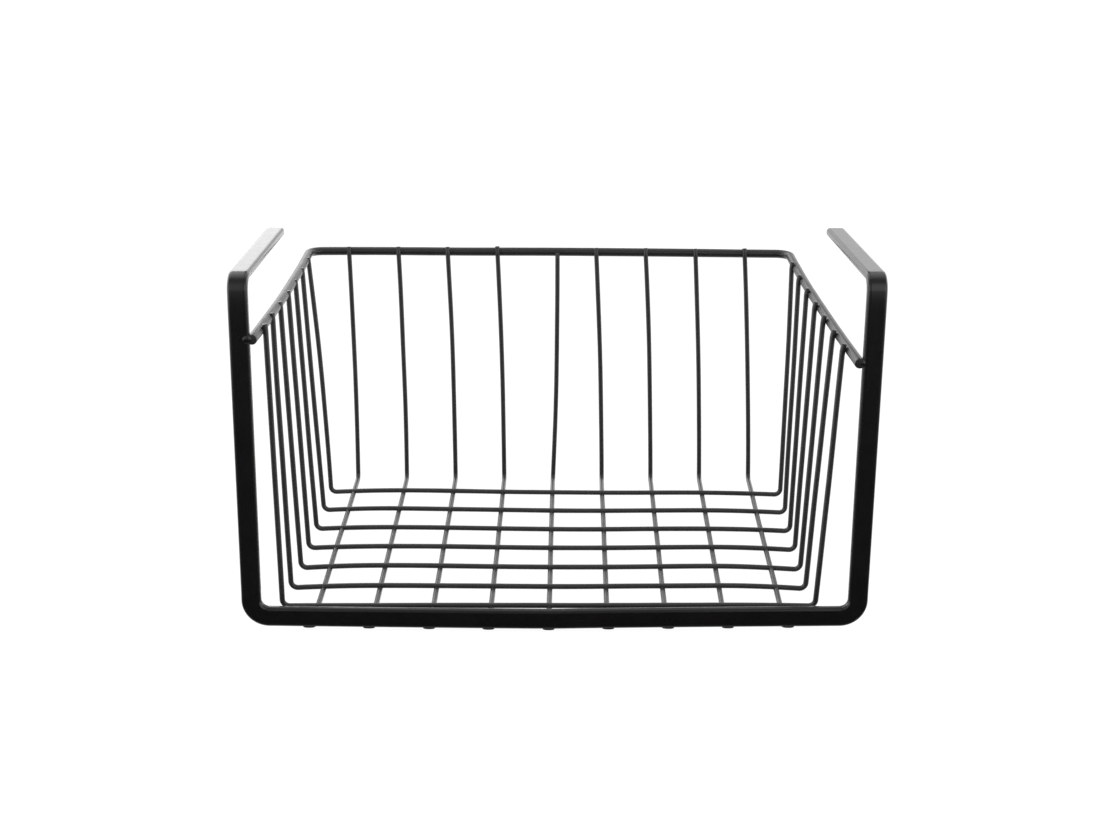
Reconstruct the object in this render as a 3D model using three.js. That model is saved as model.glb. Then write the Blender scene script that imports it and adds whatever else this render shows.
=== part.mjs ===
// Under-shelf wire basket in millimetres, +Z up, front towards -Y.
// A bent flat bar makes the front frame and its two shelf arms. A heavy rim wire runs round the
// sides and the back. U-shaped cross wires and L-shaped depth wires make the walls and the floor.
// Every joint is a weld, so touching pieces are drawn a weld gap apart.
import * as THREE from 'three';

// Front frame: one flat steel bar and its coating
const FRAME_WIDTH = 301;
const FRAME_HEIGHT = 174.3;
const ARM_LENGTH = 116;
const BAR_WIDTH = 9.5;
const BAR_THICKNESS = 4.2;
const BAR_EDGE_RADIUS = 1.8;
const ARM_BEND_RADIUS = 4;
const CORNER_BEND_RADIUS = 8.5;
const ARM_TIP_RADIUS = 2.6;

// Wires: 4 and 2 steel and their coating
const RIM_DIAMETER = 4.3;
const WIRE_DIAMETER = 2.3;
const RIM_BEND_RADIUS = 8;
const WIRE_BEND_RADIUS = 3.6;
const WELD_GAP = 0.3;

// Rim, walls and floor. The shelf gap is clear height over the rim's left front end.
const SHELF_GAP = 25.5;
const RIM_END_SETBACK = 0.8;
const REAR_WALL_DEPTH = 217;
const SIDE_WALL_FLARE = 4.5;
const CROSS_WIRE_COUNT = 7;
const FIRST_CROSS_WIRE_SETBACK = 19.4;
const LAST_CROSS_WIRE_SETBACK = 25.5;
const CROSS_GAP_GROWTH = 1.1;
const DEPTH_WIRE_COUNT = 9;
const DEPTH_WIRE_MARGIN = 15.8;

// Hand-welded offsets of this basket: drops are below the rim's left front end, shifts are along x,
// and the skews are how far a cross wire at the front or the rear has its right end behind its left end
const RIM_DROP_FRONT_RIGHT = 8.8;
const RIM_DROP_REAR_LEFT = 2;
const RIM_DROP_REAR_RIGHT = 3.7;
const RIM_REAR_FLARE = 0.5;
const RIM_REAR_SHIFT = -4.6;
const FLOOR_FRONT_SHIFT = -4.2;
const FLOOR_REAR_SHIFT = -1.3;
const CROSS_WIRE_SKEW_FRONT = 2.4;
const CROSS_WIRE_SKEW_REAR = -6.2;
const DEPTH_WIRE_FAN = 2.6;
const REAR_WALL_LEAN = -3.5;
const MIDDLE_WIRE_LEAN = 5.6;
const RIGHT_ARM_TOE_IN = 2;

// Depth wires are pressed flat where they are welded under the bottom bar
const FLAT_END_SETBACK = 0.5;
const FLAT_END_WIDTH = 5.4;
const FLAT_END_THICKNESS = 1.3;
const FLAT_END_OVERRUN = 1;
const FLAT_END_TAPER = 3;

// Facets
const WIRE_SIDES = 8;
const RIM_SIDES = 12;
const BEND_STEPS = 6;
const EDGE_STEPS = 2;
const TIP_STEPS = 3;

// Places that follow from the sizes, with y counted from the front face of the frame
const barCentreX = (FRAME_WIDTH - BAR_WIDTH) / 2;
const barCentreY = BAR_THICKNESS / 2;
const armCentreZ = FRAME_HEIGHT - BAR_THICKNESS / 2;
const bottomBarCentreZ = FLAT_END_THICKNESS + WELD_GAP + BAR_WIDTH / 2;
const seat = (RIM_DIAMETER + WIRE_DIAMETER) / 2 + WELD_GAP;
const rimHalfWidth = FRAME_WIDTH / 2 - BAR_WIDTH - WELD_GAP - RIM_DIAMETER / 2;
const rimRearY = REAR_WALL_DEPTH + seat;
const rimTopZ = FRAME_HEIGHT - BAR_THICKNESS - SHELF_GAP;
const rimCentreZ = rimTopZ - RIM_DIAMETER / 2;
const overallDepth = rimRearY + RIM_DIAMETER / 2;
const depthWireZ = WIRE_DIAMETER / 2;
const crossWireZ = WIRE_DIAMETER * 1.5 + WELD_GAP;
const floorHalfWidth = rimHalfWidth - seat - SIDE_WALL_FLARE;

// Corners of the rim wire's centre line
const rimRearHalfWidth = rimHalfWidth + RIM_REAR_FLARE;
const rimCorners = {
  frontLeft: new THREE.Vector3(-rimHalfWidth, RIM_END_SETBACK, rimCentreZ),
  rearLeft: new THREE.Vector3(RIM_REAR_SHIFT - rimRearHalfWidth, rimRearY, rimCentreZ - RIM_DROP_REAR_LEFT),
  rearRight: new THREE.Vector3(RIM_REAR_SHIFT + rimRearHalfWidth, rimRearY, rimCentreZ - RIM_DROP_REAR_RIGHT),
  frontRight: new THREE.Vector3(rimHalfWidth, RIM_END_SETBACK, rimCentreZ - RIM_DROP_FRONT_RIGHT),
};

// A path through given stations, so that straight runs stay long while bends stay fine
class StationPath extends THREE.Curve {
  constructor(stations) {
    super();
    this.stations = stations;
  }

  getPoint(t, target = new THREE.Vector3()) {
    const last = this.stations.length - 1;
    const index = Math.min(Math.floor(t * last), last - 1);
    return target.lerpVectors(this.stations[index], this.stations[index + 1], t * last - index);
  }

  getPointAt(u, target) {
    return this.getPoint(u, target);
  }

  getTangentAt(u, target = new THREE.Vector3()) {
    const last = this.stations.length - 1;
    const index = Math.round(u * last);
    const here = this.stations[index];
    const before = this.stations[Math.max(index - 1, 0)];
    const after = this.stations[Math.min(index + 1, last)];
    const arriving = here.clone().sub(before).normalize();
    const leaving = after.clone().sub(here).normalize();
    return target.copy(arriving).add(leaving).normalize();
  }
}

// Stations along straight runs between corners, with an arc of the given radius at each inner corner
function bentStations(corners, radii) {
  const stations = [corners[0].clone()];
  for (let i = 1; i < corners.length - 1; i += 1) {
    const corner = corners[i];
    const arriving = corner.clone().sub(corners[i - 1]).normalize();
    const leaving = corners[i + 1].clone().sub(corner).normalize();
    const turn = arriving.angleTo(leaving);
    const axis = arriving.clone().cross(leaving).normalize();
    const inward = axis.clone().cross(arriving);
    const start = corner.clone().addScaledVector(arriving, -radii[i - 1] * Math.tan(turn / 2));
    const centre = start.clone().addScaledVector(inward, radii[i - 1]);
    for (let step = 0; step <= BEND_STEPS; step += 1) {
      const spoke = start.clone().sub(centre).applyAxisAngle(axis, (turn * step) / BEND_STEPS);
      stations.push(spoke.add(centre));
    }
  }
  stations.push(corners[corners.length - 1].clone());
  return stations;
}

// Section of a round wire: a polygon whose flats lie at the wire's radius
function roundSection(diameter, sides) {
  const reach = diameter / 2 / Math.cos(Math.PI / sides);
  const points = [];
  for (let side = 0; side < sides; side += 1) {
    const angle = ((side + 0.5) * 2 * Math.PI) / sides;
    points.push(new THREE.Vector2(reach * Math.cos(angle), reach * Math.sin(angle)));
  }
  return new THREE.Shape(points);
}

// Section of the flat bar: thickness along x, width along y, with rounded edges
function barSection() {
  const x = BAR_THICKNESS / 2 - BAR_EDGE_RADIUS;
  const y = BAR_WIDTH / 2 - BAR_EDGE_RADIUS;
  const quarter = Math.PI / 2;
  const section = new THREE.Shape();
  section.absarc(x, y, BAR_EDGE_RADIUS, 0, quarter);
  section.absarc(-x, y, BAR_EDGE_RADIUS, quarter, 2 * quarter);
  section.absarc(-x, -y, BAR_EDGE_RADIUS, 2 * quarter, 3 * quarter);
  section.absarc(x, -y, BAR_EDGE_RADIUS, 3 * quarter, 4 * quarter);
  section.closePath();
  return section;
}

function sweep(section, stations) {
  return new THREE.ExtrudeGeometry(section, {
    steps: stations.length - 1,
    curveSegments: EDGE_STEPS,
    extrudePath: new StationPath(stations),
  });
}

// Moves every vertex by a rule that changes one point in place
function reshape(geometry, rule) {
  const position = geometry.attributes.position;
  const point = new THREE.Vector3();
  for (let i = 0; i < position.count; i += 1) {
    point.fromBufferAttribute(position, i);
    rule(point);
    position.setXYZ(i, point.x, point.y, point.z);
  }
  geometry.computeVertexNormals();
  return geometry;
}

function blackCoat() {
  return new THREE.MeshStandardMaterial({ color: 0x161617, roughness: 0.34, metalness: 0 });
}

function piece(name, geometry) {
  const mesh = new THREE.Mesh(geometry, blackCoat());
  mesh.name = name;
  return mesh;
}

// Front frame: arm, upright, bottom bar, upright and arm in one bend line
function frontFrame() {
  const tip = (side) => new THREE.Vector3(side * barCentreX, ARM_LENGTH, armCentreZ);
  const shoulder = (side) => new THREE.Vector3(side * barCentreX, barCentreY, armCentreZ);
  const foot = (side) => new THREE.Vector3(side * barCentreX, barCentreY, bottomBarCentreZ);
  const corners = [tip(-1), shoulder(-1), foot(-1), foot(1), shoulder(1), tip(1)];
  const radii = [ARM_BEND_RADIUS, CORNER_BEND_RADIUS, CORNER_BEND_RADIUS, ARM_BEND_RADIUS];
  const stations = bentStations(corners, radii).slice(1, -1);
  for (let step = 0; step <= TIP_STEPS; step += 1) {
    const rise = Math.sin((Math.PI / 2) * (step / TIP_STEPS));
    const y = ARM_LENGTH - ARM_TIP_RADIUS * (1 - rise);
    stations.unshift(new THREE.Vector3(-barCentreX, y, armCentreZ));
    stations.push(new THREE.Vector3(barCentreX, y, armCentreZ));
  }
  const finishArms = (point) => {
    const reach = Math.max(0, (point.y - (ARM_LENGTH - ARM_TIP_RADIUS)) / ARM_TIP_RADIUS);
    const inset = ARM_TIP_RADIUS * (1 - Math.sqrt(Math.max(0, 1 - reach * reach)));
    const centre = Math.sign(point.x) * barCentreX;
    point.x = centre + (point.x - centre) * (1 - inset / (BAR_WIDTH / 2));
    const alongArm = Math.max(0, point.y - BAR_THICKNESS) / (ARM_LENGTH - BAR_THICKNESS);
    if (point.x > 0) point.x -= RIGHT_ARM_TOE_IN * alongArm;
  };
  return piece('front_frame', reshape(sweep(barSection(), stations), finishArms));
}

function rimWire() {
  const { frontLeft, rearLeft, rearRight, frontRight } = rimCorners;
  const stations = bentStations(
    [frontLeft, rearLeft, rearRight, frontRight],
    [RIM_BEND_RADIUS, RIM_BEND_RADIUS],
  );
  return piece('rim_wire', sweep(roundSection(RIM_DIAMETER, RIM_SIDES), stations));
}

// Point on the rim's left (-1) or right (1) side at a given depth
function rimSideAt(side, y) {
  const front = side < 0 ? rimCorners.frontLeft : rimCorners.frontRight;
  const rear = side < 0 ? rimCorners.rearLeft : rimCorners.rearRight;
  return front.clone().lerp(rear, (y - front.y) / (rear.y - front.y));
}

// Point on the rim's rear run at a given x
function rimRearAt(x) {
  const { rearLeft, rearRight } = rimCorners;
  return rearLeft.clone().lerp(rearRight, (x - rearLeft.x) / (rearRight.x - rearLeft.x));
}

// Depth of a cross wire, counted from the front: the gaps grow evenly towards the back
function crossWireY(index) {
  const gaps = CROSS_WIRE_COUNT - 1;
  const run = REAR_WALL_DEPTH - LAST_CROSS_WIRE_SETBACK - FIRST_CROSS_WIRE_SETBACK;
  const even = FIRST_CROSS_WIRE_SETBACK + (run * index) / gaps;
  return even + (CROSS_GAP_GROWTH * index * (index - gaps)) / 2;
}

// Middle of the floor at a given depth
function floorCentreX(y) {
  return THREE.MathUtils.lerp(FLOOR_FRONT_SHIFT, FLOOR_REAR_SHIFT, y / REAR_WALL_DEPTH);
}

// Cross wire: up both side walls to the top of the rim, and over the depth wires on the floor
function crossWire(index) {
  const leftY = crossWireY(index);
  const rearShare = leftY / REAR_WALL_DEPTH;
  const rightY = leftY + THREE.MathUtils.lerp(CROSS_WIRE_SKEW_FRONT, CROSS_WIRE_SKEW_REAR, rearShare);
  const depthAt = (side) => (side < 0 ? leftY : rightY);
  const end = (side) => {
    const rim = rimSideAt(side, depthAt(side));
    return new THREE.Vector3(rim.x - side * seat, rim.y, rim.z + RIM_DIAMETER / 2);
  };
  const corner = (side) => {
    const y = depthAt(side);
    return new THREE.Vector3(floorCentreX(y) + side * floorHalfWidth, y, crossWireZ);
  };
  const stations = bentStations(
    [end(-1), corner(-1), corner(1), end(1)],
    [WIRE_BEND_RADIUS, WIRE_BEND_RADIUS],
  );
  const section = roundSection(WIRE_DIAMETER, WIRE_SIDES);
  return piece(`cross_wire_${index + 1}`, sweep(section, stations));
}

// Depth wire: flat end under the bottom bar, along the floor, and up the rear wall to the rim
function depthWire(index) {
  const middle = (DEPTH_WIRE_COUNT - 1) / 2;
  const place = (index - middle) / middle;
  const spread = place * (floorHalfWidth - DEPTH_WIRE_MARGIN);
  const frontX = FLOOR_FRONT_SHIFT + spread;
  const rearX = FLOOR_REAR_SHIFT + spread + place * DEPTH_WIRE_FAN;
  const topX = FLOOR_REAR_SHIFT + spread + REAR_WALL_LEAN + (index === middle ? MIDDLE_WIRE_LEAN : 0);
  const floorX = (y) => THREE.MathUtils.lerp(frontX, rearX, y / REAR_WALL_DEPTH);
  const onFloor = (y) => new THREE.Vector3(floorX(y), y, depthWireZ);
  const top = new THREE.Vector3(topX, REAR_WALL_DEPTH, rimRearAt(topX).z + RIM_DIAMETER / 2);
  const corners = [onFloor(FLAT_END_SETBACK), onFloor(REAR_WALL_DEPTH), top];
  const stations = bentStations(corners, [WIRE_BEND_RADIUS]);
  const flatUntil = BAR_THICKNESS + FLAT_END_OVERRUN;
  const roundFrom = flatUntil + FLAT_END_TAPER;
  stations.splice(1, 0, onFloor(flatUntil), onFloor(roundFrom));
  const flatten = (point) => {
    if (point.y >= roundFrom) return;
    const share = Math.min(1, (roundFrom - point.y) / FLAT_END_TAPER);
    const widen = THREE.MathUtils.lerp(1, FLAT_END_WIDTH / WIRE_DIAMETER, share);
    const centre = floorX(point.y);
    point.x = centre + (point.x - centre) * widen;
    point.z *= THREE.MathUtils.lerp(1, FLAT_END_THICKNESS / WIRE_DIAMETER, share);
  };
  const section = roundSection(WIRE_DIAMETER, WIRE_SIDES);
  return piece(`depth_wire_${index + 1}`, reshape(sweep(section, stations), flatten));
}

// The basket stands with the middle of its depth over the origin
const basket = new THREE.Group();
basket.position.y = -overallDepth / 2;
basket.add(frontFrame(), rimWire());
for (let index = 0; index < CROSS_WIRE_COUNT; index += 1) basket.add(crossWire(index));
for (let index = 0; index < DEPTH_WIRE_COUNT; index += 1) basket.add(depthWire(index));

const model = new THREE.Group();
model.add(basket);
export default model;
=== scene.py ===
"""Looks of the hanging wire basket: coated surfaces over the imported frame, in metres, front towards -Y."""

import functools
import math

import bpy
import numpy as np
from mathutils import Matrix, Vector, noise


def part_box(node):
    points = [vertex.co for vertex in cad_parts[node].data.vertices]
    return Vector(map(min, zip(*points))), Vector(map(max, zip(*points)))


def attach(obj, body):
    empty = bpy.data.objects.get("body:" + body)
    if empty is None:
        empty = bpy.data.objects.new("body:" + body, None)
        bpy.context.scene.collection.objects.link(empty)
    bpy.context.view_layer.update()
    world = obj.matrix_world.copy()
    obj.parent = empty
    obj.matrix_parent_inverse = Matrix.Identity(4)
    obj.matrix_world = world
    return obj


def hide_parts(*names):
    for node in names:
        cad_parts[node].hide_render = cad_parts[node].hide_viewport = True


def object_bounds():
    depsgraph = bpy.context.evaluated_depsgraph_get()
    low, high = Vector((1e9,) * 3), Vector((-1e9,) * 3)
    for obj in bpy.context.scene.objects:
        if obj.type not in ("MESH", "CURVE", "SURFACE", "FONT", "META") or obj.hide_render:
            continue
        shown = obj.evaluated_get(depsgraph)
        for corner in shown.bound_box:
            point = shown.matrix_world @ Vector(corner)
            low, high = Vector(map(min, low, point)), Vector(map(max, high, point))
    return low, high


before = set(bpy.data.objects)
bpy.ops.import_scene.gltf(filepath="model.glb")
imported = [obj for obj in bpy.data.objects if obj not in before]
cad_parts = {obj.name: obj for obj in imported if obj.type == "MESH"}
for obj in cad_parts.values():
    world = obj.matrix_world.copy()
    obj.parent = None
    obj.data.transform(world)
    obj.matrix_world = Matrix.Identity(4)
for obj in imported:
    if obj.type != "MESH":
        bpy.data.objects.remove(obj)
cad_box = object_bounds()
bar_low, bar_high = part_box("front_frame")
rim_low, rim_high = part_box("rim_wire")

MM = 0.001

# Stock: sizes of the bar, the rim and the thin wires, bare and coated
BAR_WIDTH = 9.5 * MM
BAR_THICKNESS = 4.2 * MM
BAR_EDGE_ROUNDING = 0.8
ARM_BEND_RADIUS = 6.0 * MM
CORNER_BEND_RADIUS = 8.5 * MM
ARM_TIP_RADIUS = 2.6 * MM
ARM_TIP_EDGE = 0.9 * MM
RIM_RADIUS = 2.15 * MM
COATED_RIM_RADIUS = 2.42 * MM
RIM_BEND_RADIUS = 8.0 * MM
WIRE_RADIUS = 1.15 * MM
COATED_WIRE_RADIUS = 1.35 * MM
WIRE_BEND_RADIUS = 3.6 * MM
CUT_EDGE = 0.35 * MM

# Wires, numbered from the front and from the left
FIRST_CROSS_WIRE = 1
SECOND_CROSS_WIRE = 2
THIRD_CROSS_WIRE = 3
LAST_CROSS_WIRE = 7
CROSS_WIRES = range(FIRST_CROSS_WIRE, LAST_CROSS_WIRE + 1)
FIRST_DEPTH_WIRE = 1
MIDDLE_DEPTH_WIRE = 5
LAST_DEPTH_WIRE = 9
DEPTH_WIRES = range(FIRST_DEPTH_WIRE, LAST_DEPTH_WIRE + 1)
LONG_DEPTH_WIRES = (4, 9)

# Flat ends of the depth wires, pressed against the under side of the bottom bar
FLAT_END_WIDTH = 5.8 * MM
FLAT_END_THICKNESS = 1.25 * MM
FLAT_END_LENGTH = 5.0 * MM
FLAT_END_TAPER = 3.0 * MM
FLAT_END_SQUARENESS = 0.2
FLAT_END_SINK = 0.75 * MM
FLAT_END_FAN = 0.0135

# Side ends of the cross wires: gap to the rim's centre line, height over the rim, and lean onto it
LEFT_END_GAP = 2.9 * MM
LEFT_END_CLOSING = 0.8 * MM
LEFT_END_LEAST_GAP = 1.8 * MM
LEFT_END_RISE = 0.9 * MM
LEFT_END_FALL = 0.4 * MM
LEFT_END_LOWEST = -0.2 * MM
LEFT_END_LEAN = 0.1 * MM
RIGHT_END_GAP = 3.75 * MM
RIGHT_END_CLOSING = 0.17 * MM
RIGHT_END_RISE = 1.4 * MM
RIGHT_END_LEAN = 0.4 * MM
END_LEAN_LENGTH = 3.6 * MM
END_LEAN_BEND = 4.0 * MM

# Depth wires: how high they are pressed up to the cross wires, and how their top ends meet the rim
DEPTH_WIRE_RISE = 0.95 * MM
REAR_END_PRESS = 1.1 * MM
REAR_END_LEAN = 0.4 * MM
REAR_END_RISE = 0.85 * MM
LONG_END_RISE = 1.25 * MM
MIDDLE_END_RISE = -2.2 * MM

# Front frame as bent: it leans, its arm bends run out softly and the bottom bar hangs to a soft point
FRAME_LEAN = 0.0073
FRAME_LEAN_LEVEL = 115 * MM
BEND_EASE = 0.25 * MM
BEND_EASE_LENGTH = 8 * MM
BAR_DROP_LEFT = 0.72 * MM
BAR_DROP_RIGHT = 0.34 * MM
BAR_SAG = 1.54 * MM
BAR_SAG_POWER_LEFT = 1.26
BAR_SAG_POWER_RIGHT = 0.78
BAR_SPREAD = 0.2 * MM
BAR_SPREAD_HEIGHT = 10 * MM

# Rim and walls as bent: shifts of the rim's ends and corners, and bows of its runs and of the rear wall
LEFT_RIM_END_SHIFT = (-0.95 * MM, -0.7 * MM, 1.2 * MM)
RIGHT_RIM_END_SHIFT = (1.15 * MM, -0.7 * MM, -0.95 * MM)
LEFT_RIM_REAR_SHIFT = (0.5 * MM, 0, 0)
RIGHT_RIM_REAR_SHIFT = (0.45 * MM, 0, 0)
RIM_BOW = 0.52 * MM
LEFT_WALL_BOW = 1.4 * MM
RIGHT_WALL_BOW = 1.6 * MM
REAR_WALL_BOW = 0.8 * MM

# Floor as bent: it sags in its middle, from behind the first cross wire on
FLOOR_SAG = 0.65 * MM
FLOOR_SAG_MIDDLE = 6 * MM
FLOOR_SAG_REACH = 85 * MM
FLOOR_SAG_START = 26 * MM
FLOOR_SAG_FULL = 44 * MM

# Cross wires as bent: nudges of their floor corners, bows of their legs and droops beside the corners
FIRST_RIGHT_NUDGE = 0.85 * MM
SECOND_RIGHT_NUDGE = -0.85 * MM
LAST_RIGHT_NUDGE = 2.0 * MM
THIRD_LEFT_NUDGE = 0.85 * MM
LEFT_NUDGE_FALL = 0.18 * MM
FIRST_RIGHT_LEG_BOW = 0.35 * MM
LAST_LEFT_LEG_BOW = 1.1 * MM
LAST_RIGHT_LEG_BOW = 0.4 * MM
END_DROOP_REACH = 46 * MM
FIRST_LEFT_DROOP = 0.2 * MM
LEFT_DROOP = 1.35 * MM
FIRST_RIGHT_DROOP = 0.6 * MM
RIGHT_DROOP = 1.8 * MM
RIGHT_DROOP_FALL = 0.18 * MM

# Depth wires as bent: nudges of their front ends, rear corners and top ends
DEPTH_WIRE_CLOSING = 0.9935
DEPTH_FRONT_NUDGE = 0.6 * MM
DEPTH_REAR_NUDGE = -0.5 * MM
DEPTH_TOP_NUDGE = -0.84 * MM
MIDDLE_TOP_NUDGE = -0.1 * MM

# Small bows along each wire, and changes of the coat's thickness
WIRE_WANDER = 0.22 * MM
WANDER_LENGTH = 55 * MM
COAT_SWELL = 0.025
COAT_SWELL_LENGTH = 14 * MM

# Weld drops: half of their length, depth and height
CROSSING_DROP = (1.55 * MM, 1.75 * MM, 0.75 * MM)
SIDE_DROP = (0.4 * MM, 0.5 * MM, 0.6 * MM)
REAR_DROP = (1.5 * MM, 0.8 * MM, 1.3 * MM)
LEFT_END_DROP = (2.4 * MM, 0.9 * MM, 2.3 * MM)
RIGHT_END_DROP = (1.7 * MM, 1.5 * MM, 2.3 * MM)
FLAT_END_DROP = (2.3 * MM, 1.6 * MM, 0.4 * MM)

# Weld drops: their places, as shares of the drop or of the bar's thickness, and their lumps
SIDE_DROP_RISE = 0.2 * MM
LEFT_DROP_SINK = 0.35
LEFT_DROP_DEPTH = 0.5
RIGHT_DROP_DEPTH = 0.8
FLAT_DROP_DEPTH = 0.55
DROP_LUMPS = 0.14
DROP_LUMP_SCALE = 1.3

# Seeds, and how far one step of a seed moves through the noise
NOISE_SEED = 2
RIM_SEED = 31
DEPTH_WIRE_SEED = 10
CROSSING_SEED_STEP = 10
SIDE_SEED_STEP = 7
REAR_SEED_STEP = 13
FLAT_END_SEED_STEP = 5
LEFT_END_SEED = 2
RIGHT_END_SEED = 4
WANDER_SHIFT = (5.7, 2.3, 0)
SWELL_SHIFT = (0, 3.1, 4.9)
DROP_SHIFT = (1.9, 0.7, 3.3)

# Fineness of the meshes
WIRE_SIDES = 24
RIM_SIDES = 32
EDGE_STEPS = 7
EDGE_SUPPORT = 0.25
BEND_STEPS = 14
CUT_STEPS = 4
STATION_SPACING = 4 * MM
DROP_RINGS = 9
DROP_SIDES = 14
CROSSING_ROUNDS = 3
SHARP_ANGLE = math.radians(50)

# Tolerances for picking a solid's outermost corners
PROBE = 0.25 * MM
FINE_PROBE = 0.025 * MM

# Camera: the photograph's view, on its 1100 x 824 picture
IMAGE_WIDTH = 1100
FOCAL_PIXELS = 1725.7
SENSOR_WIDTH = 36.0
CAMERA_PLACE = (0.0, -0.87778, 0.34026)
CAMERA_PITCH = math.radians(16.769)
CAMERA_YAW = 0.00371
CAMERA_NEAR = 0.01
CAMERA_FAR = 200


def add_camera():
    data = bpy.data.cameras.new("photo_camera")
    data.sensor_width = SENSOR_WIDTH
    data.lens = FOCAL_PIXELS / IMAGE_WIDTH * SENSOR_WIDTH
    data.clip_start = CAMERA_NEAR
    data.clip_end = CAMERA_FAR
    camera = bpy.data.objects.new("photo_camera", data)
    camera.location = CAMERA_PLACE
    camera.rotation_euler = (math.pi / 2 - CAMERA_PITCH, 0, CAMERA_YAW)
    bpy.context.collection.objects.link(camera)
    bpy.context.scene.camera = camera


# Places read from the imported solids

def corners_of(node):
    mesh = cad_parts[node].data
    flat = np.empty(len(mesh.vertices) * 3)
    mesh.vertices.foreach_get("co", flat)
    return flat.reshape(-1, 3)


def middle(points):
    return (points.min(axis=0) + points.max(axis=0)) / 2


def highest(points):
    """Middle of the topmost ring of corners."""
    return middle(points[points[:, 2] > points[:, 2].max() - PROBE])


def along(start, end, share):
    return np.array(start) + (np.array(end) - np.array(start)) * share


# Paths

def bent_path(corners, radii):
    """Straight runs through the corners, with an arc of the given radius at each inner corner."""
    corners = [Vector(corner) for corner in corners]
    points = [corners[0]]
    for before, corner, after, radius in zip(corners, corners[1:], corners[2:], radii):
        to_before = (before - corner).normalized()
        to_after = (after - corner).normalized()
        half_angle = to_before.angle(to_after) / 2
        centre = corner + (to_before + to_after).normalized() * (radius / math.sin(half_angle))
        reach = radius / math.tan(half_angle)
        start = (corner + to_before * reach - centre).normalized()
        end = (corner + to_after * reach - centre).normalized()
        for step in range(BEND_STEPS + 1):
            points.append(centre + start.slerp(end, step / BEND_STEPS) * radius)
    points.append(corners[-1])
    return points


def stations(points):
    """The same path with extra points along its straight runs."""
    path = [points[0]]
    for point in points[1:]:
        start = path[-1]
        run = point - start
        pieces = max(1, round(run.length / STATION_SPACING))
        path += [start + run * (piece / pieces) for piece in range(1, pieces + 1)]
    return path


def with_cut_ends(points, edge):
    """Adds points close to both ends, where a rounded cut edge is drawn in by the returned insets."""
    steps = [edge * (1 - math.cos(math.pi / 2 * step / CUT_STEPS)) for step in range(CUT_STEPS + 1)]
    head = (points[1] - points[0]).normalized()
    tail = (points[-2] - points[-1]).normalized()
    start = [points[0] + head * step for step in steps]
    end = [points[-1] + tail * step for step in reversed(steps)]
    drawn = [edge - math.sqrt(max(0, edge * edge - (edge - step) ** 2)) for step in steps]
    insets = drawn + [0] * (len(points) - 2) + drawn[::-1]
    return start + points[1:-1] + end, np.array(insets)


def noise_start(seed, shift):
    """Where in the noise a seed begins."""
    return Vector([seed * part for part in shift])


def wander(points, seed):
    """Small bows that bending leaves in a wire."""
    start = noise_start(seed, WANDER_SHIFT)
    return [point + noise.noise_vector(point / WANDER_LENGTH + start) * WIRE_WANDER for point in points]


def swell(points, seed):
    """The coat is a little thicker here and there."""
    start = noise_start(seed, SWELL_SHIFT)
    return np.array([1 + COAT_SWELL * noise.noise(point / COAT_SWELL_LENGTH + start) for point in points])


# Bows and sags of the bent basket

def limited(share):
    """A share kept between 0 and 1."""
    return min(1, max(0, share))


def bow(depth, share):
    """Height of a shallow bow of the given depth, at a share of its length."""
    share = limited(share)
    return depth * 4 * share * (1 - share)


def bar_drop(x):
    """How far the bottom bar hangs low: more at its left end, and most at a soft point in the middle."""
    place = min(1, max(-1, x / (bar_high.x - BAR_WIDTH / 2 - CORNER_BEND_RADIUS)))
    power = BAR_SAG_POWER_LEFT if place < 0 else BAR_SAG_POWER_RIGHT
    ends = BAR_DROP_LEFT + (BAR_DROP_RIGHT - BAR_DROP_LEFT) * (place + 1) / 2
    return ends + BAR_SAG * (1 - abs(place) ** power)


def bend_ease(z):
    """How far the frame leans back near the arms, where each bend runs out softly into its upright."""
    bend_end = bar_high.z - BAR_THICKNESS / 2 - ARM_BEND_RADIUS
    run = (bend_end - z) / BEND_EASE_LENGTH
    if run < 0:
        return BEND_EASE * (1 - 2 * run)
    return BEND_EASE * (1 - min(1, run)) ** 2


def floor_sag(x, y):
    """How far the wires of the floor sag in its middle, from behind the first cross wire on."""
    share = min(1, abs(x - FLOOR_SAG_MIDDLE) / FLOOR_SAG_REACH)
    run = (y - bar_low.y - FLOOR_SAG_START) / (FLOOR_SAG_FULL - FLOOR_SAG_START)
    return FLOOR_SAG * (1 - share * share) ** 2 * limited(run)


def wall_bow(x, y):
    """How far a side of the rim is bowed in, signed towards the middle."""
    share = (y - rim_low.y) / (rim_high.y - rim_low.y)
    return bow(LEFT_WALL_BOW, share) if x < 0 else -bow(RIGHT_WALL_BOW, share)


# Meshes

def sweep(points, sections, side):
    """Corners and faces of a closed tube, whose sections stand square to the path without twisting."""
    points = np.array([list(point) for point in points])
    steps = np.diff(points, axis=0)
    steps /= np.linalg.norm(steps, axis=1)[:, None]
    headings = np.vstack([steps[:1], steps[:-1] + steps[1:], steps[-1:]])
    headings /= np.linalg.norm(headings, axis=1)[:, None]
    side = np.array(side, dtype=float)
    rings = []
    for point, heading, section in zip(points, headings, sections):
        side = side - heading * side.dot(heading)
        side /= np.linalg.norm(side)
        up = np.cross(heading, side)
        rings.append(point + section[:, :1] * side + section[:, 1:] * up)
    count = len(sections[0])
    faces = [list(range(count))[::-1]]
    for ring in range(len(rings) - 1):
        for corner in range(count):
            here = ring * count + corner
            beside = ring * count + (corner + 1) % count
            faces.append([here, beside, beside + count, here + count])
    faces.append(list(range((len(rings) - 1) * count, len(rings) * count)))
    return np.vstack(rings), faces


def circle(sides):
    angles = np.linspace(0, 2 * math.pi, sides, endpoint=False)
    return np.column_stack([np.cos(angles), np.sin(angles)])


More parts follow.
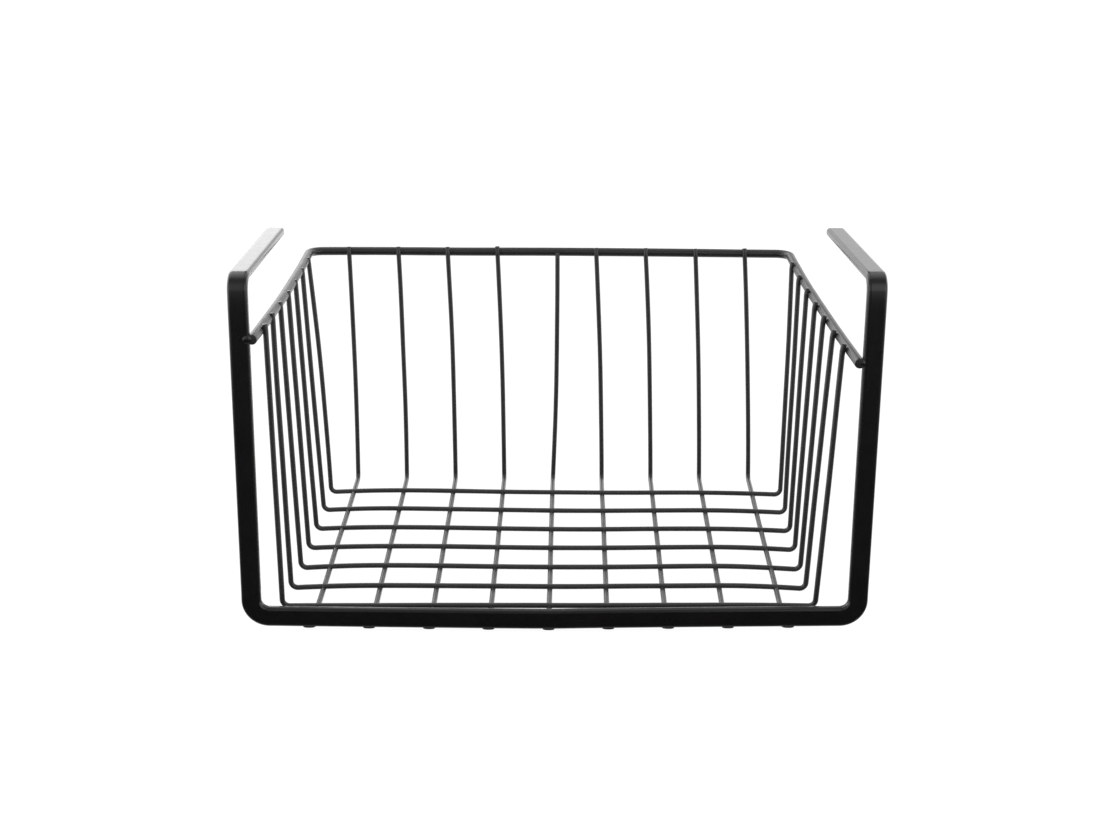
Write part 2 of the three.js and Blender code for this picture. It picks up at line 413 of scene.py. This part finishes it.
def pressed_wire(flat):
    """Section of a coated wire, from round (0) to pressed flat with fuller corners (1)."""
    power = 1 / (1 + FLAT_END_SQUARENESS * flat)
    outline = np.sign(circle(WIRE_SIDES)) * np.abs(circle(WIRE_SIDES)) ** power
    half_width = COATED_WIRE_RADIUS + flat * (FLAT_END_WIDTH / 2 - COATED_WIRE_RADIUS)
    half_height = COATED_WIRE_RADIUS + flat * (FLAT_END_THICKNESS / 2 - COATED_WIRE_RADIUS)
    return outline * (half_width, half_height)


def flat_bar(half_width, half_thickness):
    """Section of the bar: rounded edges, with a corner beside each to keep the faces between them flat."""
    radius = half_thickness * BAR_EDGE_ROUNDING
    support = radius * EDGE_SUPPORT
    centre = np.array((half_width - radius, half_thickness - radius))
    outline = []
    for quarter, signs in enumerate([(1, 1), (-1, 1), (-1, -1), (1, -1)]):
        turns = [math.pi / 2 * (quarter + step / EDGE_STEPS) for step in range(EDGE_STEPS + 1)]
        edge = [centre * signs + (radius * math.cos(turn), radius * math.sin(turn)) for turn in turns]
        leading = np.array((math.sin(turns[0]), -math.cos(turns[0]))) * support
        trailing = np.array((-math.sin(turns[-1]), math.cos(turns[-1]))) * support
        outline += [edge[0] + leading, *edge, edge[-1] + trailing]
    return np.array(outline)


def drop(centre, half_sizes, seed):
    """A lumpy drop of weld under the coat."""
    start = noise_start(seed, DROP_SHIFT)
    corners = []
    for ring in range(DROP_RINGS + 1):
        tilt = math.pi * ring / DROP_RINGS
        for side in range(1 if ring in (0, DROP_RINGS) else DROP_SIDES):
            turn = 2 * math.pi * side / DROP_SIDES
            way = Vector((math.sin(tilt) * math.cos(turn), math.sin(tilt) * math.sin(turn), math.cos(tilt)))
            lump = 1 + DROP_LUMPS * noise.noise(way * DROP_LUMP_SCALE + start)
            corners.append([centre[axis] + way[axis] * half_sizes[axis] * lump for axis in range(3)])
    last = len(corners) - 1
    faces = []
    for side in range(DROP_SIDES):
        beside = (side + 1) % DROP_SIDES
        faces.append([0, 1 + side, 1 + beside])
        for ring in range(DROP_RINGS - 2):
            row = 1 + ring * DROP_SIDES
            faces.append([row + side, row + DROP_SIDES + side, row + DROP_SIDES + beside, row + beside])
        row = last - DROP_SIDES
        faces.append([last, row + beside, row + side])
    return np.array(corners), faces


def add_piece(name, shells, material, nodes=()):
    """One object made of closed shells, carried by the basket's only body."""
    corners = []
    faces = []
    offset = 0
    for shell_corners, shell_faces in shells:
        corners.append(shell_corners)
        faces += [[offset + corner for corner in face] for face in shell_faces]
        offset += len(shell_corners)
    mesh = bpy.data.meshes.new(name)
    mesh.from_pydata(np.vstack(corners).tolist(), [], faces)
    mesh.polygons.foreach_set("use_smooth", [True] * len(mesh.polygons))
    mesh.set_sharp_from_angle(angle=SHARP_ANGLE)
    mesh.materials.append(material)
    piece = bpy.data.objects.new(name, mesh)
    bpy.context.collection.objects.link(piece)
    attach(piece, "root")
    if nodes:
        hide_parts(*nodes)


# Shader nodes

def add_range(tree, value, low, high, to_low, to_high):
    """Eases a value from one range to another."""
    node = tree.nodes.new("ShaderNodeMapRange")
    node.interpolation_type = "SMOOTHSTEP"
    node.inputs["From Min"].default_value = low
    node.inputs["From Max"].default_value = high
    node.inputs["To Min"].default_value = to_low
    node.inputs["To Max"].default_value = to_high
    tree.links.new(value, node.inputs["Value"])
    return node.outputs["Result"]


def add_math(tree, operation, first, second):
    node = tree.nodes.new("ShaderNodeMath")
    node.operation = operation
    for socket, value in zip(node.inputs, (first, second)):
        if isinstance(value, (int, float)):
            socket.default_value = value
        else:
            tree.links.new(value, socket)
    return node.outputs["Value"]


# Black powder coat: scales are per metre, and heights are shares of the orange peel's

COAT_IOR = 1.5
TONE_SCALE = 70
TONE_DETAIL = 4
TONE_DARK_UP_TO = 0.3
TONE_PALE_FROM = 0.75
GLOSS_SCALE = 240
GLOSS_DETAIL = 3
GLOSS_RANGE = (0.3, 0.7)
GLOSS_CHANGE = 0.05
PEEL_DETAIL = 2
SPECK_SCALE = 210
SPECK_RANGE = (0.03, 0.09)
SPECK_HEIGHT = 1.5


def powder_coat(name, dark, pale, roughness, peel_scale, peel_height):
    """Near-black coat with orange peel, cloudy gloss and a few raised specks."""
    material = bpy.data.materials.new(name)
    material.use_nodes = True
    tree = material.node_tree
    shader = tree.nodes["Principled BSDF"]
    shader.inputs["IOR"].default_value = COAT_IOR
    place = tree.nodes.new("ShaderNodeTexCoord").outputs["Object"]

    def cloud(scale, detail):
        texture = tree.nodes.new("ShaderNodeTexNoise")
        texture.inputs["Scale"].default_value = scale
        texture.inputs["Detail"].default_value = detail
        tree.links.new(place, texture.inputs["Vector"])
        return texture.outputs["Fac"]

    def bump(height, distance):
        node = tree.nodes.new("ShaderNodeBump")
        node.inputs["Distance"].default_value = distance
        tree.links.new(height, node.inputs["Height"])
        return node

    tone = tree.nodes.new("ShaderNodeValToRGB")
    tone.color_ramp.elements[0].position = TONE_DARK_UP_TO
    tone.color_ramp.elements[0].color = (*dark, 1)
    tone.color_ramp.elements[1].position = TONE_PALE_FROM
    tone.color_ramp.elements[1].color = (*pale, 1)
    tree.links.new(cloud(TONE_SCALE, TONE_DETAIL), tone.inputs["Fac"])
    tree.links.new(tone.outputs["Color"], shader.inputs["Base Color"])

    smoothest = roughness * (1 - GLOSS_CHANGE)
    roughest = roughness * (1 + GLOSS_CHANGE)
    gloss = add_range(tree, cloud(GLOSS_SCALE, GLOSS_DETAIL), *GLOSS_RANGE, smoothest, roughest)
    tree.links.new(gloss, shader.inputs["Roughness"])

    specks = tree.nodes.new("ShaderNodeTexVoronoi")
    specks.inputs["Scale"].default_value = SPECK_SCALE
    tree.links.new(place, specks.inputs["Vector"])
    speck = add_range(tree, specks.outputs["Distance"], *SPECK_RANGE, 1, 0)
    peel = bump(cloud(peel_scale, PEEL_DETAIL), peel_height)
    pimples = bump(speck, peel_height * SPECK_HEIGHT)
    tree.links.new(peel.outputs["Normal"], pimples.inputs["Normal"])
    tree.links.new(pimples.outputs["Normal"], shader.inputs["Normal"])
    return material


# Front frame

def build_front_frame(coat):
    solid = corners_of("front_frame")
    tips = solid[solid[:, 1] > bar_high.y - PROBE]
    top = bar_high.z - BAR_THICKNESS / 2
    back = bar_high.y - bend_ease(top)
    front = bar_low.y + BAR_THICKNESS / 2
    bottom = bar_low.z + BAR_WIDTH / 2
    left = bar_low.x + BAR_WIDTH / 2
    right = bar_high.x - BAR_WIDTH / 2
    left_tip = middle(tips[tips[:, 0] < 0])[0]
    right_tip = middle(tips[tips[:, 0] > 0])[0]
    path = bent_path(
        [
            (left_tip, back, top), (left, front, top), (left, front, bottom),
            (right, front, bottom), (right, front, top), (right_tip, back, top),
        ],
        [ARM_BEND_RADIUS, CORNER_BEND_RADIUS, CORNER_BEND_RADIUS, ARM_BEND_RADIUS],
    )
    path = stations(path)
    for point in path:
        point.x += FRAME_LEAN * (point.z - FRAME_LEAN_LEVEL)
        point.y += bend_ease(point.z)
        point.z -= bar_drop(point.x) * (top - point.z) / (top - bottom)
    path, insets = with_cut_ends(path, ARM_TIP_RADIUS)
    sections = []
    for point, inset in zip(path, insets):
        thin = inset * ARM_TIP_EDGE / ARM_TIP_RADIUS
        spread = BAR_SPREAD * limited(1 - (point.z - bottom) / BAR_SPREAD_HEIGHT)
        point.z += spread
        sections.append(flat_bar(BAR_WIDTH / 2 - inset + spread, BAR_THICKNESS / 2 - thin))
    add_piece("coated_front_frame", [sweep(path, sections, (1, 0, 0))], coat, ["front_frame"])


# Rim wire

def rim_bow(x):
    """How far the rear run of the rim is bowed up between its corners."""
    share = min(1, abs(x) / cad_box[1].x)
    return RIM_BOW * (1 - share * share)


@functools.cache
def rim_corners():
    """Centre line corners of the rim wire: front left, rear left, rear right, front right."""
    solid = corners_of("rim_wire")
    ends = solid[solid[:, 1] < rim_low.y + PROBE]
    back = solid[solid[:, 1] > rim_high.y - FINE_PROBE]
    front_left = middle(ends[ends[:, 0] < 0]) + LEFT_RIM_END_SHIFT
    front_right = middle(ends[ends[:, 0] > 0]) + RIGHT_RIM_END_SHIFT
    rear_left = middle(back[back[:, 0] < 0]) + (-RIM_BEND_RADIUS, -RIM_RADIUS, 0) + LEFT_RIM_REAR_SHIFT
    rear_right = middle(back[back[:, 0] > 0]) + (RIM_BEND_RADIUS, -RIM_RADIUS, 0) + RIGHT_RIM_REAR_SHIFT
    return front_left, rear_left, rear_right, front_right


def rim_side(front, rear, y):
    """Point on the centre line of a side of the rim, at a depth."""
    place = along(front, rear, (y - front[1]) / (rear[1] - front[1]))
    place[0] += wall_bow(place[0], y)
    return place


def build_rim(coat):
    front_left, rear_left, rear_right, front_right = rim_corners()
    path = bent_path([front_left, rear_left, rear_right, front_right], [RIM_BEND_RADIUS] * 2)
    path = wander(stations(path), RIM_SEED)
    for point in path:
        point.x += wall_bow(point.x, point.y)
        if point.y > rear_left[1] - RIM_BEND_RADIUS:
            point.z += rim_bow(point.x)
    path, insets = with_cut_ends(path, CUT_EDGE)
    radii = COATED_RIM_RADIUS * swell(path, RIM_SEED) - insets
    sections = radii[:, None, None] * circle(RIM_SIDES)
    add_piece("coated_rim_wire", [sweep(path, sections, (0, 0, 1))], coat, ["rim_wire"])


# Cross wires: down the left wall, across the floor, up the right wall

@functools.cache
def cross_wire_corners(number):
    """Centre line corners of a cross wire: left end, left floor corner, right floor corner, right end.

    The ends lie against the rim near its top, and the right wall twists from the second wire to the last.
    """
    solid = corners_of(f"cross_wire_{number}")
    left = solid[solid[:, 0] < 0]
    right = solid[solid[:, 0] > 0]
    floor = solid[:, 2].min()
    left_start = middle(left[left[:, 2] < floor + FINE_PROBE])
    right_start = middle(right[right[:, 2] < floor + FINE_PROBE])
    left_corner = left_start + (-WIRE_BEND_RADIUS, 0, WIRE_RADIUS)
    right_corner = right_start + (WIRE_BEND_RADIUS, 0, WIRE_RADIUS)
    share = (number - SECOND_CROSS_WIRE) / (LAST_CROSS_WIRE - SECOND_CROSS_WIRE)
    twist = SECOND_RIGHT_NUDGE + (LAST_RIGHT_NUDGE - SECOND_RIGHT_NUDGE) * share
    right_corner[0] += FIRST_RIGHT_NUDGE if number == FIRST_CROSS_WIRE else twist
    if number >= THIRD_CROSS_WIRE:
        left_corner[0] += THIRD_LEFT_NUDGE - LEFT_NUDGE_FALL * (number - THIRD_CROSS_WIRE)
    front_left, rear_left, rear_right, front_right = rim_corners()
    behind_first = number - FIRST_CROSS_WIRE
    left_rise = max(LEFT_END_LOWEST, LEFT_END_RISE - LEFT_END_FALL * behind_first)
    left_gap = max(LEFT_END_LEAST_GAP, LEFT_END_GAP - LEFT_END_CLOSING * behind_first)
    right_gap = RIGHT_END_GAP - RIGHT_END_CLOSING * behind_first
    left_end = rim_side(front_left, rear_left, highest(left)[1])
    left_end += (left_gap, 0, RIM_RADIUS + left_rise)
    right_end = rim_side(front_right, rear_right, highest(right)[1])
    right_end += (-right_gap, 0, RIM_RADIUS + RIGHT_END_RISE)
    return left_end, left_corner, right_corner, right_end


def knee(end, corner):
    """Where the end of a wire starts to lean onto the rim."""
    return along(end, corner, END_LEAN_LENGTH / np.linalg.norm(corner - end))


def end_droop(number, x, left, right):
    """How far the floor run of a cross wire hangs low near its corners."""
    left_depth = LEFT_DROOP
    right_depth = RIGHT_DROOP - RIGHT_DROOP_FALL * (number - SECOND_CROSS_WIRE)
    if number == FIRST_CROSS_WIRE:
        left_depth = FIRST_LEFT_DROOP
        right_depth = FIRST_RIGHT_DROOP
    left_share = limited(1 - (x - left) / END_DROOP_REACH)
    right_share = limited(1 - (right - x) / END_DROOP_REACH)
    return left_depth * left_share ** 2 + right_depth * right_share ** 2


def leg_bow(number, x, height):
    """How far a leg of the first or last cross wire is bowed to the right."""
    if number == FIRST_CROSS_WIRE:
        return 0 if x < 0 else bow(FIRST_RIGHT_LEG_BOW, height)
    if number == LAST_CROSS_WIRE:
        return bow(LAST_LEFT_LEG_BOW if x < 0 else LAST_RIGHT_LEG_BOW, height)
    return 0


def build_cross_wire(number, coat):
    left_end, left_corner, right_corner, right_end = cross_wire_corners(number)
    path = bent_path(
        [
            left_end - (LEFT_END_LEAN, 0, 0), knee(left_end, left_corner), left_corner,
            right_corner, knee(right_end, right_corner), right_end + (RIGHT_END_LEAN, 0, 0),
        ],
        [END_LEAN_BEND, WIRE_BEND_RADIUS, WIRE_BEND_RADIUS, END_LEAN_BEND],
    )
    path = wander(stations(path), number)
    for point in path:
        height = (point.z - left_corner[2]) / (left_end[2] - left_corner[2])
        droop = end_droop(number, point.x, left_corner[0], right_corner[0])
        point.x += leg_bow(number, point.x, height)
        point.z -= floor_sag(point.x, point.y) + droop * limited(1 - height)
    path, insets = with_cut_ends(path, CUT_EDGE)
    radii = COATED_WIRE_RADIUS * swell(path, number) - insets
    sections = radii[:, None, None] * circle(WIRE_SIDES)
    name = f"coated_cross_wire_{number}"
    add_piece(name, [sweep(path, sections, (0, 1, 0))], coat, [f"cross_wire_{number}"])


# Depth wires: pressed flat under the bottom bar, back along the floor, up the rear wall

@functools.cache
def depth_wire_corners(number):
    """Centre line corners of a depth wire: front end at the floor's height, rear floor corner, top end."""
    solid = corners_of(f"depth_wire_{number}")
    front = middle(solid[solid[:, 1] < solid[:, 1].min() + PROBE])
    lowest = solid[solid[:, 2] < solid[:, 2].min() + FINE_PROBE]
    rear_start = middle(lowest[lowest[:, 1] > lowest[:, 1].max() - PROBE])
    rear_corner = rear_start + (0, WIRE_BEND_RADIUS, WIRE_RADIUS)
    top = highest(solid)
    front[0] = front[0] * DEPTH_WIRE_CLOSING + DEPTH_FRONT_NUDGE
    front[2] = rear_corner[2]
    rear_corner[0] += DEPTH_REAR_NUDGE
    top[0] += MIDDLE_TOP_NUDGE if number == MIDDLE_DEPTH_WIRE else DEPTH_TOP_NUDGE
    return front, rear_corner, top


def flat_end_height(x):
    """Middle of a flat end, pressed against the under side of the bottom bar."""
    return bar_low.z - bar_drop(x) - FLAT_END_THICKNESS / 2 + FLAT_END_SINK


def flat_end_share(distance):
    """How flat a depth wire is, from 1 at its front end to 0 behind the taper."""
    share = 1 - limited((distance - FLAT_END_LENGTH) / FLAT_END_TAPER)
    return share * share * (3 - 2 * share)


def rear_end_rise(number):
    """How far a depth wire's top end stands higher than in the solids."""
    if number == MIDDLE_DEPTH_WIRE:
        return MIDDLE_END_RISE
    return LONG_END_RISE if number in LONG_DEPTH_WIRES else REAR_END_RISE


def build_depth_wire(number, coat):
    front, rear_corner, top = depth_wire_corners(number)
    up = np.array((0, 0, DEPTH_WIRE_RISE))
    top = top + (0, REAR_END_PRESS, rear_end_rise(number) + rim_bow(top[0]))
    path = bent_path(
        [front + up, rear_corner + up, knee(top, rear_corner), top + (0, REAR_END_LEAN, 0)],
        [WIRE_BEND_RADIUS, END_LEAN_BEND],
    )
    seed = DEPTH_WIRE_SEED + number
    path = wander(stations(path), seed)
    for point in path:
        height = (point.z - rear_corner[2]) / (top[2] - rear_corner[2])
        point.x += bow(REAR_WALL_BOW, height)
        point.z -= floor_sag(point.x, point.y) * (1 - height)
    path, insets = with_cut_ends(path, CUT_EDGE)
    thickness = swell(path, seed) - insets / COATED_WIRE_RADIUS
    sections = []
    for point, thick in zip(path, thickness):
        flat = flat_end_share(point.y - front[1])
        point.x += flat * FLAT_END_FAN * front[0]
        point.z += flat * (flat_end_height(front[0]) - point.z)
        sections.append(thick * pressed_wire(flat))
    name = f"coated_depth_wire_{number}"
    add_piece(name, [sweep(path, sections, (1, 0, 0))], coat, [f"depth_wire_{number}"])


# Welds

def crossing(cross, depth):
    """Point on a depth wire's centre line under a cross wire, closed in on by turns."""
    _, left, right, _ = cross_wire_corners(cross)
    front, rear, _ = depth_wire_corners(depth)
    place = front
    for _ in range(CROSSING_ROUNDS):
        over = along(left, right, (place[0] - left[0]) / (right[0] - left[0]))
        place = along(front, rear, (over[1] - front[1]) / (rear[1] - front[1]))
    return place


def build_floor_welds(coat):
    shells = []
    for cross in CROSS_WIRES:
        for depth in DEPTH_WIRES:
            place = crossing(cross, depth)
            contact = (0, 0, WIRE_RADIUS + DEPTH_WIRE_RISE - floor_sag(place[0], place[1]))
            shells.append(drop(place + contact, CROSSING_DROP, cross * CROSSING_SEED_STEP + depth))
    add_piece("floor_welds", shells, coat)


def build_rim_welds(coat):
    front_left, rear_left, rear_right, front_right = rim_corners()
    shells = []
    for number in CROSS_WIRES:
        left_end, _, _, right_end = cross_wire_corners(number)
        left_seam = rim_side(front_left, rear_left, left_end[1])
        left_seam += (COATED_RIM_RADIUS, 0, SIDE_DROP_RISE)
        right_seam = rim_side(front_right, rear_right, right_end[1])
        right_seam += (-COATED_RIM_RADIUS, 0, SIDE_DROP_RISE)
        shells.append(drop(left_seam, SIDE_DROP, number * SIDE_SEED_STEP - 1))
        shells.append(drop(right_seam, SIDE_DROP, number * SIDE_SEED_STEP + 1))
    for number in DEPTH_WIRES:
        _, _, top = depth_wire_corners(number)
        seam = top + (0, REAR_END_PRESS + WIRE_RADIUS, -RIM_RADIUS)
        shells.append(drop(seam, REAR_DROP, number * REAR_SEED_STEP))
    add_piece("rim_welds", shells, coat)


def build_frame_welds(coat):
    front_left, _, _, front_right = rim_corners()
    left_inside = bar_low.x + BAR_WIDTH - LEFT_END_DROP[0] * LEFT_DROP_SINK
    left_seam = (left_inside, bar_low.y + LEFT_END_DROP[1] * LEFT_DROP_DEPTH, front_left[2])
    right_inside = bar_high.x - BAR_WIDTH
    right_seam = (right_inside, bar_low.y + RIGHT_END_DROP[1] * RIGHT_DROP_DEPTH, front_right[2])
    shells = [
        drop(left_seam, LEFT_END_DROP, LEFT_END_SEED),
        drop(right_seam, RIGHT_END_DROP, RIGHT_END_SEED),
    ]
    for number in DEPTH_WIRES:
        front, _, _ = depth_wire_corners(number)
        under_bar = bar_low.z - bar_drop(front[0])
        seam = (front[0], bar_low.y + BAR_THICKNESS * FLAT_DROP_DEPTH, under_bar)
        shells.append(drop(seam, FLAT_END_DROP, number * FLAT_END_SEED_STEP))
    add_piece("frame_welds", shells, coat)


# Studio: a white sweep low behind, soft panels at the sides and a dim room in front

# Each light has a strength and windows: a part of the direction, where it is dark and where it is full
STUDIO_LIGHTS = {
    "rear_white": (1.3, ("Y", -0.05, 0.4), ("Z", 0.52, 0.32)),
    "rear_right": (0.5, ("Y", 0.5, 0.85), ("X", 0.02, 0.12), ("Z", 0.1, -0.05)),
    "left_tower": (2.2, ("X", -0.12, -0.2), ("Z", 0.25, 0.35), ("Y", -0.4, 0.9)),
    "right_tower": (1.3, ("X", 0.12, 0.2), ("Z", 0.25, 0.35), ("Y", -0.4, 0.9)),
    "left_panel": (2.0, ("X", -0.6, -0.85), ("Z", -0.25, -0.18), ("Z", 0.7, 0.5)),
    "right_panel": (1.4, ("X", 0.6, 0.85), ("Z", -0.25, -0.18), ("Z", 0.7, 0.5)),
    "front_left": (0.9, ("Y", -0.45, -0.75), ("X", -0.08, -0.2), ("Z", -0.25, 0.12), ("Z", 0.85, 0.55)),
    "front_right": (1.5, ("Y", -0.45, -0.75), ("X", 0.08, 0.2), ("Z", -0.22, 0.13), ("Z", 0.85, 0.55)),
    "front_room": (0.12, ("Y", -0.45, -0.75), ("Z", -0.1, 0.1), ("Z", 0.65, 0.45)),
    "ceiling": (0.4, ("Z", 0.5, 0.8)),
    "near_floor": (0.4, ("Z", -0.6, -0.9)),
}
ROOM_LIGHT = 0.04


def build_world():
    """White to the camera, and to everything else a dim room with soft-edged lights."""
    world = bpy.data.worlds.new("studio")
    bpy.context.scene.world = world
    world.use_nodes = True
    tree = world.node_tree
    way = tree.nodes.new("ShaderNodeTexCoord").outputs["Generated"]
    split = tree.nodes.new("ShaderNodeSeparateXYZ")
    tree.links.new(way, split.inputs["Vector"])
    room = ROOM_LIGHT
    for strength, *windows in STUDIO_LIGHTS.values():
        light = strength
        for part, dark_at, full_at in windows:
            rising = dark_at < full_at
            low, high = sorted((dark_at, full_at))
            share = add_range(tree, split.outputs[part], low, high, 0 if rising else 1, 1 if rising else 0)
            light = add_math(tree, "MULTIPLY", share, light)
        room = add_math(tree, "ADD", light, room)
    seen = tree.nodes.new("ShaderNodeLightPath").outputs["Is Camera Ray"]
    brightness = tree.nodes.new("ShaderNodeMix")
    tree.links.new(seen, brightness.inputs["Factor"])
    tree.links.new(room, brightness.inputs["A"])
    brightness.inputs["B"].default_value = 1
    background = tree.nodes["Background"]
    background.inputs["Color"].default_value = (1, 1, 1, 1)
    tree.links.new(brightness.outputs["Result"], background.inputs["Strength"])


FLOOR_HALF_SIZE = 40.0
FLOOR_PAINT = 0.85
FLOOR_GLOW = 1.07
FLOOR_GLOW_SHARE = 0.88


def build_floor():
    """White floor: plain paint to the light, nearly white with a faint shadow to the camera."""
    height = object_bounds()[0].z
    half = FLOOR_HALF_SIZE
    mesh = bpy.data.meshes.new("floor")
    square = [(-half, -half, height), (half, -half, height), (half, half, height), (-half, half, height)]
    mesh.from_pydata(square, [], [(0, 1, 2, 3)])
    floor = bpy.data.objects.new("floor", mesh)
    bpy.context.collection.objects.link(floor)
    floor.visible_glossy = False
    material = bpy.data.materials.new("white_floor")
    material.use_nodes = True
    nodes = material.node_tree.nodes
    links = material.node_tree.links
    nodes.clear()
    paint = nodes.new("ShaderNodeBsdfDiffuse")
    paint.inputs["Color"].default_value = (FLOOR_PAINT, FLOOR_PAINT, FLOOR_PAINT, 1)
    glow = nodes.new("ShaderNodeEmission")
    glow.inputs["Strength"].default_value = FLOOR_GLOW
    white = nodes.new("ShaderNodeMixShader")
    white.inputs["Fac"].default_value = FLOOR_GLOW_SHARE
    links.new(paint.outputs["BSDF"], white.inputs[1])
    links.new(glow.outputs["Emission"], white.inputs[2])
    seen = nodes.new("ShaderNodeLightPath")
    either = nodes.new("ShaderNodeMixShader")
    links.new(seen.outputs["Is Camera Ray"], either.inputs["Fac"])
    links.new(paint.outputs["BSDF"], either.inputs[1])
    links.new(white.outputs["Shader"], either.inputs[2])
    output = nodes.new("ShaderNodeOutputMaterial")
    links.new(either.outputs["Shader"], output.inputs["Surface"])
    mesh.materials.append(material)


def add_softbox(name, width, height, watts, place, turn):
    data = bpy.data.lights.new(name, "AREA")
    data.shape = "RECTANGLE"
    data.size = width
    data.size_y = height
    data.energy = watts
    lamp = bpy.data.objects.new(name, data)
    lamp.location = place
    lamp.rotation_euler = turn
    lamp.visible_camera = False
    bpy.context.collection.objects.link(lamp)


def build_lamps():
    add_softbox(
        "overhead_softbox", width=1.4, height=1.0, watts=3,
        place=(-0.2, 0.25, 1.3), turn=(math.radians(-8), math.radians(-8), 0),
    )
    add_softbox(
        "rear_left_softbox", width=0.8, height=0.3, watts=1.0,
        place=(-0.53, 0.5, 0.35), turn=(math.radians(-90), 0, 0),
    )


noise.seed_set(NOISE_SEED)
add_camera()
bpy.context.scene.view_settings.view_transform = "Standard"
bar_coat = powder_coat(
    "bar_coat", dark=(0.0032, 0.0026, 0.0028), pale=(0.0047, 0.004, 0.0042),
    roughness=0.24, peel_scale=800, peel_height=0.001 * MM,
)
rim_coat = powder_coat(
    "rim_coat", dark=(0.008, 0.0077, 0.0078), pale=(0.012, 0.0116, 0.0118),
    roughness=0.4, peel_scale=800, peel_height=0.001 * MM,
)
wire_coat = powder_coat(
    "wire_coat", dark=(0.016, 0.0158, 0.016), pale=(0.023, 0.0226, 0.0228),
    roughness=0.37, peel_scale=900, peel_height=0.001 * MM,
)
weld_coat = powder_coat(
    "weld_coat", dark=(0.012, 0.012, 0.012), pale=(0.018, 0.018, 0.018),
    roughness=0.46, peel_scale=1300, peel_height=0.002 * MM,
)
build_front_frame(bar_coat)
build_rim(rim_coat)
for wire in CROSS_WIRES:
    build_cross_wire(wire, wire_coat)
for wire in DEPTH_WIRES:
    build_depth_wire(wire, wire_coat)
build_floor_welds(weld_coat)
build_rim_welds(weld_coat)
build_frame_welds(bar_coat)
build_world()
build_lamps()
build_floor()
